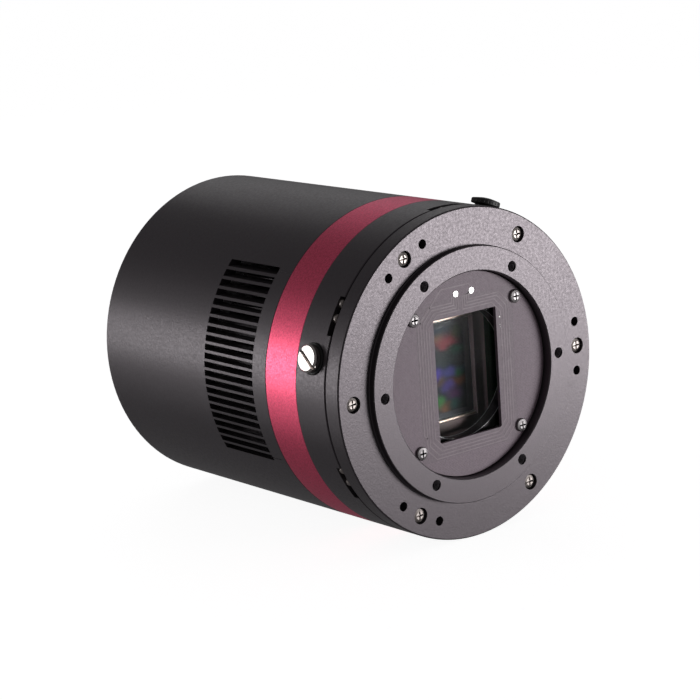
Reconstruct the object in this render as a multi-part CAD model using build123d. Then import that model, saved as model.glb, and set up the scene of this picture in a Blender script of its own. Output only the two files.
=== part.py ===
from build123d import *
import math
import os

# Cooled astronomy camera.
# Millimetres. Origin: centre of the raised adapter ring's front face. The optical axis is Y and the
# front looks along -Y. +Z is up, so the vents with the drying-port plug are on the -X side.

# ---- driving dimensions ----
body_radius = 45.0
ring_height = 1.9          # raised adapter ring above the flange's face
ring_radius = 34.7
ring_bevel = 0.2
ring_foot = 0.15           # bevel in the corner where the ring meets the flange's face
flange_bore = 28.0
flange_back = 7.1
seam_gap = 0.4             # gap that the tilt adjustment works in
accent_front = 19.5
accent_back = 32.6
accent_seat = 41.9
chamber_back = 32.4        # joint of the chamber and the heat sink
shell_front = 32.7
shell_back = 109.75
shell_inner = 42.0
plate_thickness = 2.5
plate_recess = 0.85        # back plate sits this far inside the shell's rear rim

screw_circle = 40.0        # radius of the flange's screws
adapter_circle = 31.0      # radius of the adapter's screw holes
adapter_hole = 1.5
jack_spread = 10.0         # degrees from a pull screw to each jack screw beside it

aperture_width = 22.15
aperture_height = 33.4
aperture_drop = 0.3        # aperture and sensor sit slightly below the axis
sensor_drop = 0.5
sensor_plane = 12.9

vent_front = 38.5
vent_length = 22.0
vent_slot = 1.68
vent_pitch = 2.4
vent_count = 22
vent_top = 30.0            # height of the top slot

fan_size = 50.0
fan_depth = 15.0
fan_rise = 9.0             # fan centre above the optical axis
connector_drop = 27.5      # connector row below the optical axis

housing_front = flange_back + seam_gap
plate_back = shell_back - plate_recess
plate_front = plate_back - plate_thickness
edge = 0.3                 # broken edge of a turned part
seam_edge = 0.1            # finer broken edge where the barrel's parts meet
clearance = 0.05           # plain clearance of parts that stay together
touch = 0.02               # extra length of a cutter, so it leaves no skin

SIX = [60 * i for i in range(6)]
NOTCHES = [30 + angle for angle in SIX]
JACKS = [centre + side * jack_spread for centre in (0, 120, 240) for side in (-1, 1)]


# ---- helpers ----
def rod(radius, front, back, x=0.0, z=0.0):
    """Round bar along the optical axis, from y = front to y = back."""
    return Pos(x, (front + back) / 2, z) * Rot(90, 0, 0) * Cylinder(radius, back - front)


def block(width, height, front, back, x=0.0, z=0.0):
    """Box with a width in X and a height in Z, from y = front to y = back."""
    return Pos(x, (front + back) / 2, z) * Box(width, back - front, height)


def rounded_block(width, height, corner, front, back, x=0.0, z=0.0):
    """Box whose four edges along the optical axis are rounded."""
    outline = Plane.XZ * RectangleRounded(width, height, corner)
    return Pos(x, back, z) * extrude(outline, back - front)


def turned(*points):
    """Solid turned about the optical axis from (radius, y) points."""
    return revolve(make_face(Polyline(*points, close=True)), axis=Axis.Y)


def turned_radial(*points):
    """Solid turned about the X axis from (height along X, radius) points."""
    return revolve(make_face(Polyline(*points, close=True)), axis=Axis.X)


def ring(outer, inner, front, back):
    """Plain ring about the optical axis."""
    return turned((inner, front), (outer, front), (outer, back), (inner, back))


def edged_ring(outer, inner, front, back, bevel=0.15):
    """Ring whose two outer edges are broken by a small bevel."""
    return turned((inner, front), (outer - bevel, front), (outer, front + bevel),
                  (outer, back - bevel), (outer - bevel, back), (inner, back))


def polar(radius, angle):
    """(x, z) of a point at this radius and angle round the optical axis, from +X towards +Z."""
    return radius * math.cos(math.radians(angle)), radius * math.sin(math.radians(angle))


def around(angle, shape):
    """Turns a shape modelled along +X to this angle round the optical axis."""
    return Rot(0, -angle, 0) * shape


def copies(shape, places):
    """The same shape at each (x, z)."""
    return [Pos(x, 0, z) * shape for x, z in places]


def circle_of(radius, angles):
    return [polar(radius, angle) for angle in angles]


def corners(half_width, half_height, z=0.0):
    return [(sx * half_width, z + sz * half_height) for sx in (-1, 1) for sz in (-1, 1)]


def cut(shape, tools):
    """One boolean cut with all the tools at once."""
    return shape - list(tools)


def pan_screw(head_radius, head_height, shank_radius, seat, tip, recess=0.55):
    """Pan-head screw with a cross recess; its head faces the front and rests at y = seat."""
    top = seat - head_height
    crown = head_height * 0.45
    screw = turned((0, top), (head_radius * 0.55, top), (head_radius * 0.88, top + crown * 0.45),
                   (head_radius, top + crown), (head_radius, seat), (shank_radius, seat),
                   (shank_radius, tip - edge), (shank_radius - edge, tip), (0, tip))
    depth = head_height * recess
    arm = head_radius * 1.15
    width = head_radius * 0.26
    cross = [block(arm, width, top - touch, top + depth), block(width, arm, top - touch, top + depth)]
    return cut(screw, cross)


def hex_post(radius, front, back):
    """Six-sided bar along the optical axis, with its flats at this radius."""
    outline = Plane.XZ * RegularPolygon(radius, 6, major_radius=False)
    return Pos(0, back, 0) * extrude(outline, back - front)


def save(name, shape):
    """Writes one node; a list becomes a group of separate solids."""
    solids = []
    for item in shape if isinstance(shape, (list, tuple)) else [shape]:
        solids.extend(item.solids())
    node = solids[0] if len(solids) == 1 else Compound(children=solids)
    node.label = name
    export_step(node, f"parts/{name}.step")
    print(name, len(solids))


os.makedirs("parts", exist_ok=True)


# ---- tilt flange ----
adapter_hole_depth = 5.5
pull_head_radius = 2.0
pull_head_height = 1.4
pull_head_seat = ring_height + 1.85
pull_shank = 1.25
pull_tip = 14.0
counterbore = 2.25
jack_radius = 1.15
jack_hole = 1.3
jack_front = 4.2
seal_inner = 29.0
seal_outer = 32.4
seal_groove_front = 5.9
seal_groove_back = 8.0


def tilt_flange():
    body = turned(
        (flange_bore + edge, 0), (ring_radius - ring_bevel, 0), (ring_radius, ring_bevel),
        (ring_radius, ring_height - ring_foot), (ring_radius + ring_foot, ring_height),
        (body_radius - 0.35, ring_height), (body_radius, ring_height + 0.35),
        (body_radius, flange_back - 0.2), (body_radius - 0.2, flange_back), (seal_outer, flange_back),
        (seal_outer, seal_groove_front), (seal_inner, seal_groove_front), (seal_inner, flange_back),
        (flange_bore, flange_back), (flange_bore, edge))
    holes = copies(rod(adapter_hole, -1, adapter_hole_depth), circle_of(adapter_circle, SIX))
    holes += copies(rod(counterbore, 0, pull_head_seat), circle_of(screw_circle, SIX))
    holes += copies(rod(pull_shank + clearance, 0, 9), circle_of(screw_circle, SIX))
    holes += copies(rod(jack_hole, 0, 9), circle_of(screw_circle, JACKS))
    return cut(body, holes)


def jack_screw():
    screw = turned((0, jack_front), (jack_radius - 0.15, jack_front), (jack_radius, jack_front + 0.15),
                   (jack_radius, housing_front - edge), (jack_radius - edge, housing_front),
                   (0, housing_front))
    socket = Pos(0, jack_front + 1.2, 0) * extrude(Plane.XZ * RegularPolygon(0.65, 6), 1.5)
    return screw - socket


save("tilt_flange", tilt_flange())
save("flange_screws", copies(pan_screw(pull_head_radius, pull_head_height, pull_shank, pull_head_seat,
                                       pull_tip), circle_of(screw_circle, SIX)))
save("jack_screws", copies(jack_screw(), circle_of(screw_circle, JACKS)))
seal_play = 0.3            # room round the soft seal for the tilt's full travel
save("light_seal_ring", ring(seal_outer - seal_play, seal_inner + seal_play,
                             seal_groove_front + seal_play, seal_groove_back - seal_play))


# ---- front housing, the sealed sensor chamber ----
nose_radius = 27.55
board_thickness = 1.0
board_front = 2.57
nose_front = board_front + board_thickness
window_radius = 21.2
window_back = 6.0
window_bore = 18.1
window_thickness = 2.0
chamber_radius = 33.0
chamber_front = 9.5
window_seal_inner = 18.9
window_seal_outer = 20.5
window_seal_depth = 1.0
gasket_bore = 20.15
chamber_seal_inner = 36.0
chamber_seal_outer = 38.2
chamber_seal_depth = 1.3
notch_half_angle = 6.9
notch_depth = 6.8
notch_floor = housing_front + 1.75
chamber_screw_circle = 39.9
chamber_screw_shank = 0.9
shell_screw_circle = 43.3  # these clamp the housing, accent ring and shell together
shell_screw_shank = 0.85
shell_screw_offsets = (0.5, -5.0)            # degrees from the middle of a notch
shell_screw_tip = 37.6
notch_head_height = 1.45
board_hole_half = 18.0     # half the spacing of the heater board's screws
port_bore = 2.0
port_seat = 44.7
slot_plug_angle = 165.3
slot_plug_y = 13.0
thumb_plug_angle = 69.1
thumb_plug_y = 10.2
slot_seat_radius = 4.35
thumb_seat_radius = 3.3
CHAMBER_SCREWS = circle_of(chamber_screw_circle, [middle + sum(shell_screw_offsets) / 2
                                                  for middle in NOTCHES])
SHELL_SCREWS = circle_of(shell_screw_circle, [middle + offset for middle in NOTCHES
                                              for offset in shell_screw_offsets])


def notch(angle):
    """Slot in the housing's front rim, as wide as its share of the circle."""
    width = 2 * body_radius * math.sin(math.radians(notch_half_angle))
    cutter = Box(notch_depth + 2, 2 * (notch_floor - housing_front), width)
    return around(angle, Pos(body_radius - notch_depth / 2 + 1, housing_front, 0) * cutter)


def radial_hole(angle, y, radius, inner, outer):
    tool = Pos((inner + outer) / 2, y, 0) * Rot(0, 90, 0) * Cylinder(radius, outer - inner)
    return around(angle, tool)


def front_housing():
    seal_floor = chamber_back - chamber_seal_depth
    window_floor = window_back + window_seal_depth
    body = turned(
        (window_radius + 0.1, nose_front), (nose_radius - 0.15, nose_front),
        (nose_radius, nose_front + 0.15), (nose_radius, housing_front), (seal_inner, housing_front),
        (seal_inner, seal_groove_back), (seal_outer, seal_groove_back), (seal_outer, housing_front),
        (body_radius - 0.2, housing_front), (body_radius, housing_front + 0.2),
        (body_radius, accent_front - seam_edge), (body_radius - seam_edge, accent_front),
        (accent_seat, accent_front), (accent_seat, chamber_back), (chamber_seal_outer, chamber_back),
        (chamber_seal_outer, seal_floor), (chamber_seal_inner, seal_floor),
        (chamber_seal_inner, chamber_back), (chamber_radius, chamber_back),
        (chamber_radius, chamber_front), (window_bore, chamber_front),
        (window_bore, window_back + 0.25), (window_bore + 0.25, window_back),
        (window_seal_inner, window_back), (window_seal_inner, window_floor),
        (window_seal_outer, window_floor), (window_seal_outer, window_back),
        (window_radius + 0.1, window_back))
    tools = [notch(angle) for angle in NOTCHES]
    tools += copies(rod(pull_shank + 0.35, 7, pull_tip + 1), circle_of(screw_circle, SIX))
    tools += copies(rod(1.0, nose_front - 1, nose_front + 5), corners(board_hole_half, board_hole_half))
    tools += copies(rod(chamber_screw_shank + clearance, notch_floor - 1, chamber_back + 1),
                    CHAMBER_SCREWS)
    tools += copies(rod(shell_screw_shank + clearance, notch_floor - 1, accent_front + 1), SHELL_SCREWS)
    for angle, y, seat in ((slot_plug_angle, slot_plug_y, slot_seat_radius),
                           (thumb_plug_angle, thumb_plug_y, thumb_seat_radius)):
        tools.append(radial_hole(angle, y, port_bore, chamber_radius - 3, body_radius + 2))
        tools.append(radial_hole(angle, y, seat, port_seat, body_radius + 3))
    return cut(body, tools)


save("front_housing", front_housing())
save("chamber_screws", copies(pan_screw(1.5, notch_head_height, chamber_screw_shank, notch_floor,
                                        chamber_back + 3.5), CHAMBER_SCREWS))
save("shell_screws", copies(pan_screw(1.4, notch_head_height, shell_screw_shank, notch_floor,
                                      shell_screw_tip), SHELL_SCREWS))
save("chamber_o_ring", ring(chamber_seal_outer - clearance, chamber_seal_inner + clearance,
                            chamber_back - chamber_seal_depth + clearance, chamber_back))

# window stack: heater board, gasket, glass, O-ring
window_front = window_back - window_thickness
save("optical_window", edged_ring(window_radius, 0, window_front, window_back, 0.2))
save("window_gasket", ring(window_radius, gasket_bore, nose_front, window_front))
save("window_o_ring", ring(window_seal_outer - clearance, window_seal_inner + clearance, window_back,
                           window_back + window_seal_depth - clearance))


def window_heater_board():
    disc = turned((0, board_front), (27.65, board_front), (27.75, board_front + 0.1),
                  (27.75, nose_front), (0, nose_front))
    opening = rounded_block(aperture_width, aperture_height, 0.4, 0, 9, z=-aperture_drop)
    return cut(disc, [opening] + copies(rod(1.1, 0, 9), corners(board_hole_half, board_hole_half)))


save("window_heater_board", window_heater_board())
save("heater_board_screws", copies(pan_screw(1.85, 0.9, 0.95, board_front, nose_front + 4.5),
                                   corners(board_hole_half, board_hole_half)))
pad_height = 22.3
pad_half = 2.78
save("heater_solder_pads", [rod(0.8, board_front - 0.12, board_front, x, pad_height)
                            for x in (-pad_half, pad_half)])


# ---- drying-port plugs ----
slot_head_radius = 3.7
slot_head_base = 45.45
slot_head_top = 47.3
slot_width = 1.05
slot_head_bevel = 0.45
slot_turn = -35.0          # the screwdriver slot runs across the head at this angle
plug_stem = port_bore - 0.05
plug_tip = 38.0
cap_radius = 3.95
cap_base = 45.5
cap_rim = 46.85
cap_top = 47.35


def port_plug():
    body = turned_radial(
        (plug_tip, 0), (plug_tip, plug_stem - edge), (plug_tip + edge, plug_stem),
        (slot_head_base, plug_stem), (slot_head_base, slot_head_radius - 0.1),
        (slot_head_base + 0.1, slot_head_radius), (slot_head_top - slot_head_bevel, slot_head_radius),
        (slot_head_top, slot_head_radius - slot_head_bevel), (slot_head_top, 0))
    slot = Pos(slot_head_top, 0, 0) * Rot(slot_turn, 0, 0) * Box(1.8, 8, slot_width)
    return around(slot_plug_angle, Pos(0, slot_plug_y, 0) * (body - slot))


def radial_o_ring(angle, y, inner, outer, base, top):
    bevel = (top - base) * 0.3
    section = turned_radial(
        (base, inner), (base, outer - bevel), (base + bevel, outer), (top - bevel, outer),
        (top, outer - bevel), (top, inner))
    return around(angle, Pos(0, y, 0) * section)


def thumb_plug():
    rib_count = 24
    body = turned_radial(
        (plug_tip, 0), (plug_tip, plug_stem - edge), (plug_tip + edge, plug_stem),
        (cap_base, plug_stem), (cap_base, cap_radius - 0.15), (cap_base + 0.15, cap_radius),
        (cap_rim - 0.2, cap_radius), (cap_rim, cap_radius - 0.2), (cap_top - 0.2, cap_radius - 1.6),
        (cap_top, cap_radius - 2.8), (cap_top, 0))
    grooves = [Pos((cap_base + cap_rim) / 2, 0, 0) * Rot(360 / rib_count * i, 0, 0)
               * Pos(0, cap_radius + 0.12, 0) * Rot(0, 90, 0) * Cylinder(0.22, 0.85)
               for i in range(rib_count)]
    return around(thumb_plug_angle, Pos(0, thumb_plug_y, 0) * cut(body, grooves))


save("port_plug", port_plug())
save("port_plug_o_ring", radial_o_ring(slot_plug_angle, slot_plug_y, plug_stem + 0.08, 4.25,
                                       port_seat + 0.02, slot_head_base - 0.02))
save("thumb_plug", thumb_plug())
save("thumb_plug_o_ring", radial_o_ring(thumb_plug_angle, thumb_plug_y, plug_stem + 0.08, 2.8,
                                        port_seat + 0.02, cap_base - 0.02))


# ---- barrel: accent ring and rear shell ----
def vent_tools(side):
    tools = []
    for i in range(vent_count):
        z = vent_top - vent_pitch * i
        tools.append(Pos(side * 36, vent_front + vent_length / 2, z) * Box(22, vent_length, vent_slot))
    return tools


def hairline(angle, front, back):
    """Fine scribed line along the shell."""
    return around(angle, Pos(body_radius, (front + back) / 2, 0) * Box(0.3, back - front, 0.22))


def rear_shell():
    ledge_front = plate_front - 1.5
    body = turned(
        (shell_inner, shell_front), (body_radius - seam_edge, shell_front),
        (body_radius, shell_front + seam_edge),
        (body_radius, shell_back - 0.4), (body_radius - 0.4, shell_back), (41.9, shell_back),
        (41.8, shell_back - 0.1), (41.8, plate_front), (41.0, plate_front), (41.0, ledge_front),
        (shell_inner, ledge_front - 1.0))
    lines = [hairline(138.3, shell_front - 1, vent_front + vent_length),
             hairline(206.75, vent_front - 4, vent_front + vent_length),
             hairline(41.7, shell_front - 1, vent_front + vent_length),
             hairline(-26.75, vent_front - 4, vent_front + vent_length)]
    tapped = copies(rod(shell_screw_shank + clearance, shell_front - 1, shell_screw_tip + 0.4),
                    SHELL_SCREWS)
    return cut(body, vent_tools(-1) + vent_tools(1) + lines + tapped)


def accent_ring():
    band = edged_ring(body_radius, accent_seat + clearance, accent_front, accent_back, seam_edge)
    return cut(band, copies(rod(shell_screw_shank + clearance, accent_front - 1, accent_back + 1),
                            SHELL_SCREWS))


save("accent_ring", accent_ring())
save("rear_shell", rear_shell())


# ---- sensor and its board ----
package_front = 12.2
package_back = 15.2
die_thickness = 0.7
sensor_board_back = package_back + 1.6
package_width, package_height = 30.0, 37.5
die_width, die_height = 20.6, 27.0
ledge_width, ledge_height = 22.0, 28.4
cover_width, cover_height, cover_thickness = 27.5, 35.0, 0.7
sensor_hole_x, sensor_hole_z = 22.5, 17.5    # half the spacing of the sensor board's screws
SENSOR_HOLES = corners(sensor_hole_x, sensor_hole_z)


def sensor_package():
    body = block(package_width, package_height, package_front, package_back, z=-sensor_drop)
    well = block(ledge_width, ledge_height, package_front - 1, sensor_plane + die_thickness,
                 z=-sensor_drop)
    return body - well


def sensor_board():
    disc = rod(31.0, package_back, sensor_board_back)
    opening = block(ledge_width + 0.5, ledge_height + 0.6, package_back - 1, sensor_board_back + 1)
    holes = copies(rod(1.1, package_back - 1, sensor_board_back + 1), SENSOR_HOLES)
    return cut(disc, [opening] + holes)


save("sensor_package", sensor_package())
save("sensor_die", block(die_width, die_height, sensor_plane, sensor_plane + die_thickness,
                         z=-sensor_drop))
save("sensor_cover_glass", block(cover_width, cover_height, package_front - cover_thickness,
                                 package_front, z=-sensor_drop))
save("sensor_board", sensor_board())
save("sensor_board_screws", copies(pan_screw(1.8, 1.2, 1.0, package_back, 21.5), SENSOR_HOLES))

# ---- cooler: cold finger, two thermoelectric stages ----
boss_front = 28.8
boss_radius = 29.5
cold_plate_front = 22.0
finger_step = 19.0
save("sensor_board_spacers", [cut(rod(2.2, sensor_board_back, boss_front, x, z),
                                  [rod(1.05, 10, 22, x, z)]) for x, z in SENSOR_HOLES])
finger_neck = block(21.0, 27.4, package_back, finger_step)
finger_foot = block(31.0, 31.0, finger_step, cold_plate_front)
save("cold_finger", finger_neck + finger_foot)

ceramic = 0.7
pellet = 1.6
stage_split = cold_plate_front + 2 * ceramic + pellet
cold_stage, warm_stage = 30.0, 38.0          # sides of the square ceramic plates


def pellets(count, size, front, back):
    pitch = size / count
    start = -size / 2 + pitch / 2
    return [block(pitch * 0.55, pitch * 0.55, front, back, start + pitch * i, start + pitch * j)
            for i in range(count) for j in range(count)]


save("cooler_ceramics", [
    block(cold_stage, cold_stage, cold_plate_front, cold_plate_front + ceramic),
    block(cold_stage, cold_stage, stage_split - ceramic, stage_split),
    block(warm_stage, warm_stage, stage_split, stage_split + ceramic),
    block(warm_stage, warm_stage, boss_front - ceramic, boss_front)])
save("cooler_pellets", pellets(6, cold_stage - 2, cold_plate_front + ceramic, stage_split - ceramic)
     + pellets(7, warm_stage - 2, stage_split + ceramic, boss_front - ceramic))

# ---- heat sink, carrier and tie posts ----
sink_radius = 41.8
sink_base_back = 37.4
fin_back = 61.5
fin_radius = 38.0
fin_thickness = 1.1
fin_pitch = 3.6
fins_each_side = 10
carrier_back = fin_back + 1.5
post_x, post_z = 33.8, 12.3
post_radius = 2.4
stud_radius = 1.5
POSTS = corners(post_x, post_z)
spacer_hole = 1.3
board_hole_spread = 22.0   # half the spacing of the main board's spacers
BOARD_HOLES = corners(board_hole_spread, board_hole_spread)
feed_width = 20.4          # signal feed-through in the heat sink's base
feed_height = 4.2
feed_drop = 26.0


def heat_sink():
    base = turned((0, boss_front), (boss_radius, boss_front), (boss_radius, chamber_back),
                  (sink_radius, chamber_back), (sink_radius, sink_base_back - edge),
                  (sink_radius - edge, sink_base_back), (0, sink_base_back))
    fins = []
    for i in range(-fins_each_side, fins_each_side + 1):
        z = i * fin_pitch
        half = math.sqrt(fin_radius ** 2 - z ** 2)
        fins.append(block(2 * half, fin_thickness, sink_base_back - 0.5, fin_back, z=z))
    bosses = copies(rod(3.6, sink_base_back - 0.5, fin_back), POSTS)
    body = base + fins + bosses
    tools = copies(rod(stud_radius + clearance, fin_back - 8, fin_back + 1), POSTS)
    tools += copies(rod(chamber_screw_shank + clearance, chamber_back - 1, chamber_back + 4),
                    CHAMBER_SCREWS)
    tools.append(block(feed_width, feed_height, boss_front - 1, fin_back + 1, z=-feed_drop))
    return cut(body, tools)


def board_carrier():
    disc = edged_ring(41.3, 23.0, fin_back, carrier_back)
    tools = copies(rod(stud_radius + clearance, fin_back - 1, carrier_back + 1), POSTS)
    tools += copies(rod(spacer_hole, fin_back - 1, carrier_back + 1), BOARD_HOLES)
    tools.append(block(feed_width, feed_height, fin_back - 1, carrier_back + 1, z=-feed_drop))
    return cut(disc, tools)


def tie_post():
    post = hex_post(post_radius, carrier_back, plate_front)
    stud = rod(stud_radius, fin_back - 7.5, carrier_back)
    tapped = rod(1.3, plate_front - 8, plate_front + 1)
    return (post + stud) - tapped


save("heat_sink", heat_sink())
save("board_carrier", board_carrier())
save("tie_posts", copies(tie_post(), POSTS))

# ---- electronics ----
main_front = 72.0
main_back = main_front + 1.6
interface_front = 87.5
interface_back = interface_front + 1.6
board_radius = 38.0
cable_width = 16.0


def main_board():
    disc = rod(board_radius, main_front, main_back)
    tools = [block(26, 26, 60, 90)]
    tools += copies(rod(3.2, 60, 90), POSTS)
    tools += copies(rod(spacer_hole, 60, 90), BOARD_HOLES)
    return cut(disc, tools)


def interface_board():
    disc = rod(board_radius, interface_front, interface_back)
    return disc & block(64, 22, interface_front, interface_back, z=-29.5)


def chips():
    """Square packages on the back of the main board: x, z and side of each."""
    places = ((0, 24.5, 16), (-24, 0, 9), (24, 0, 9), (9, -19, 8))
    return [block(side, side, main_back, main_back + 1.3, x, z) for x, z, side in places]


save("main_board", main_board())
main_spacer = cut(hex_post(2.5, carrier_back, main_front),
                  [rod(spacer_hole, main_front - 6, main_front + 1)])
main_screw = Pos(0, 2 * main_back, 0) * Rot(0, 0, 180) * pan_screw(2.2, 1.4, 1.2, main_back,
                                                                   main_back + 6)
save("main_board_spacers", copies(main_spacer, BOARD_HOLES))
save("main_board_screws", copies(main_screw, BOARD_HOLES))
save("main_board_chips", chips())
save("interface_board", interface_board())
save("signal_feedthrough", block(feed_width - 0.2, feed_height - 0.2, boss_front - 2,
                                 sink_base_back + 3, z=-feed_drop))
save("sensor_flex_cable", block(cable_width, 0.25, sensor_board_back, boss_front - 2, z=-feed_drop))
save("main_ribbon_cable", block(cable_width, 0.6, sink_base_back + 3, main_front, z=-feed_drop))
save("interface_ribbon_cable", block(cable_width, 0.6, main_back, interface_front, z=-feed_drop - 4))

# ---- fan ----
fan_back = plate_front
fan_front = fan_back - fan_depth
fan_bore = 23.9
fan_hole_half = 20.0
hub_radius = 10.0
blade_radius = 23.2
blade_count = 7
rotor_front = fan_front + 1.0
rotor_back = fan_back - 3.0
shaft_radius = 1.5
bearing_radius = 3.0
bearing_play = 0.05


def fan_frame():
    body = rounded_block(fan_size, fan_size, 3.6, fan_front, fan_back, z=fan_rise)
    body = body - rod(fan_bore, fan_front - 1, fan_back + 1, z=fan_rise)
    waist = rounded_block(fan_size + 4, fan_size + 4, 3.6, fan_front + 4, fan_back - 4, z=fan_rise)
    keep = rod(fan_bore + 1.3, fan_front, fan_back, z=fan_rise)
    keep = keep + [rod(4.2, fan_front, fan_back, x, z) for x, z in corners(fan_hole_half,
                                                                            fan_hole_half, fan_rise)]
    body = body - (waist - keep)
    mount = rod(hub_radius + 1.2, fan_back - 1.6, fan_back, z=fan_rise)
    struts = [Pos(0, 0, fan_rise) * Rot(0, 45 + 90 * i, 0) * block(15, 2.4, fan_back - 1.6, fan_back,
                                                                 x=17) for i in range(4)]
    body = body + mount + struts
    tools = [rod(1.7, fan_front - 1, fan_back + 1, x, z) for x, z in corners(fan_hole_half,
                                                                           fan_hole_half, fan_rise)]
    tools.append(rod(bearing_radius, fan_back - 3, fan_back + 1, z=fan_rise))
    return cut(body, tools)


def fan_rotor():
    cup = turned((shaft_radius - 0.02, rotor_front), (hub_radius - 0.6, rotor_front),
                 (hub_radius, rotor_front + 0.6), (hub_radius, rotor_back),
                 (hub_radius - 1.0, rotor_back), (hub_radius - 1.0, rotor_front + 1.4),
                 (shaft_radius - 0.02, rotor_front + 1.4))
    blades = []
    for i in range(blade_count):
        blade = Box(1.1, 10.5, blade_radius - hub_radius + 0.6)
        blade = Pos(0, (rotor_front + rotor_back) / 2, (blade_radius + hub_radius - 0.6) / 2) * Rot(
            0, 0, 38) * blade
        blades.append(Rot(0, 360 / blade_count * i, 0) * blade)
    trim = ring(blade_radius, hub_radius - 0.5, rotor_front + 0.2, rotor_back - 0.2)
    swept = [blade & trim for blade in blades]
    return Pos(0, 0, fan_rise) * (cup + swept)


save("fan_frame", fan_frame())
save("fan_rotor", fan_rotor())
save("fan_shaft", rod(shaft_radius - 0.02, rotor_front, fan_back - 1.0, z=fan_rise))
save("fan_bearing", Pos(0, 0, fan_rise) * ring(bearing_radius, shaft_radius - 0.02 + bearing_play,
                                               rotor_front + 3.5, fan_back - 0.6))
save("fan_stator", Pos(0, 0, fan_rise) * ring(hub_radius - 2.0, bearing_radius, rotor_front + 3.2,
                                              fan_back - 1.65))

# ---- back plate and sockets ----
usb_x, power_x, wheel_x = 0.0, 17.5, -17.5
usb_width, usb_height = 12.2, 11.0
socket_z = -connector_drop
wheel_collar = 6.0
power_collar = 4.9
socket_proud = 0.4         # sockets stand this far behind the plate, inside the shell's rim
usb_depth = 9.0
usb_tongue_recess = 4.0
usb_mouth_width, usb_mouth_height = 8.6, 8.0
power_depth = 9.5
wheel_depth = 8.0


def grille_slots():
    """Four arcs on each of five circles, left open between four ribs."""
    tools = []
    for radius in (4.0, 8.2, 12.4, 16.6, 20.8):
        tools.append(ring(radius + 1.4, radius - 1.4, plate_front - 1, plate_back + 1))
    ribs = block(50, 2.6, plate_front - 2, plate_back + 2) + block(2.6, 50, plate_front - 2,
                                                                  plate_back + 2)
    slots = [tool - ribs for tool in tools]
    return [Pos(0, 0, fan_rise) * Rot(0, 45, 0) * slot for slot in slots]


def countersunk(head_radius, shank_radius, tip, top):
    """Flat-head screw seen from the back, its head flush at y = top, with a cross recess."""
    depth = head_radius - shank_radius
    body = turned((0, tip), (shank_radius, tip), (shank_radius, top - depth), (head_radius, top - 0.05),
                  (head_radius, top), (0, top))
    cross = [block(head_radius * 1.2, head_radius * 0.26, top - 0.9, top + 1),
             block(head_radius * 0.26, head_radius * 1.2, top - 0.9, top + 1)]
    return cut(body, cross)


def countersink(head_radius, hole_radius, x, z):
    depth = head_radius - hole_radius
    tool = turned((0, plate_front - 1), (hole_radius, plate_front - 1),
                  (hole_radius, plate_back - depth), (head_radius, plate_back),
                  (head_radius, plate_back + 1), (0, plate_back + 1))
    return Pos(x, 0, z) * tool


def back_plate():
    disc = turned((0, plate_front), (41.7, plate_front), (41.7, plate_back - 0.2),
                  (41.5, plate_back), (0, plate_back))
    tools = grille_slots()
    tools += [countersink(2.75, 1.3, x, z) for x, z in POSTS]
    tools += [countersink(2.75, 1.6, x, z) for x, z in corners(fan_hole_half, fan_hole_half, fan_rise)]
    tools.append(block(usb_width + 0.3, usb_height + 0.3, 90, 120, usb_x, socket_z))
    tools.append(rod(wheel_collar + 0.15, 90, 120, wheel_x, socket_z))
    tools.append(rod(power_collar + 0.15, 90, 120, power_x, socket_z))
    return cut(disc, tools)


def usb_shell():
    outer = rounded_block(usb_width, usb_height, 0.8, interface_back, plate_back + socket_proud,
                          usb_x, socket_z)
    cavity = rounded_block(usb_mouth_width, usb_mouth_height, 0.4, plate_back - usb_depth, plate_back + 1,
                           usb_x, socket_z)
    return outer - cavity


def power_socket():
    body = block(10.5, 10.5, interface_back, plate_front - 0.2, power_x, socket_z)
    collar = rod(power_collar, plate_front - 0.3, plate_back + socket_proud, power_x, socket_z)
    barrel = rod(3.15, plate_back - power_depth, plate_back + 1, power_x, socket_z)
    return (body + collar) - barrel


def filter_wheel_socket():
    body = rod(wheel_collar, interface_back, plate_back + socket_proud, wheel_x, socket_z)
    cavity = rod(4.6, plate_back - wheel_depth, plate_back + 1, wheel_x, socket_z)
    return body - cavity


def wheel_pins():
    return [rod(0.5, plate_back - wheel_depth, plate_back - 4.7, wheel_x + x, socket_z + z)
            for x, z in circle_of(2.3, (45, 135, 225, 315))]


save("back_plate", back_plate())
save("back_plate_screws", copies(countersunk(2.7, 1.25, plate_back - 8, plate_back), POSTS))
save("fan_screws", [Pos(x, 0, z) * countersunk(2.7, 1.55, fan_front + 3, plate_back)
                    for x, z in corners(fan_hole_half, fan_hole_half, fan_rise)])
save("usb_socket_shell", usb_shell())
save("usb_socket_tongue", block(5.6, 3.2, plate_back - usb_depth, plate_back - usb_tongue_recess,
                                usb_x, socket_z))
save("power_socket", power_socket())
save("power_socket_pin", rod(1.05, plate_back - power_depth, plate_back - 1.0, power_x, socket_z))
save("filter_wheel_socket", filter_wheel_socket())
save("filter_wheel_pins", wheel_pins())
save("filter_wheel_nut", cut(Pos(wheel_x, 0, socket_z) * hex_post(7.0, plate_front - 2.2, plate_front),
                             [rod(wheel_collar + clearance, 90, 120, wheel_x, socket_z)]))
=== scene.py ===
import math
import random
import bmesh
import bpy
from mathutils import Matrix, Vector


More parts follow.
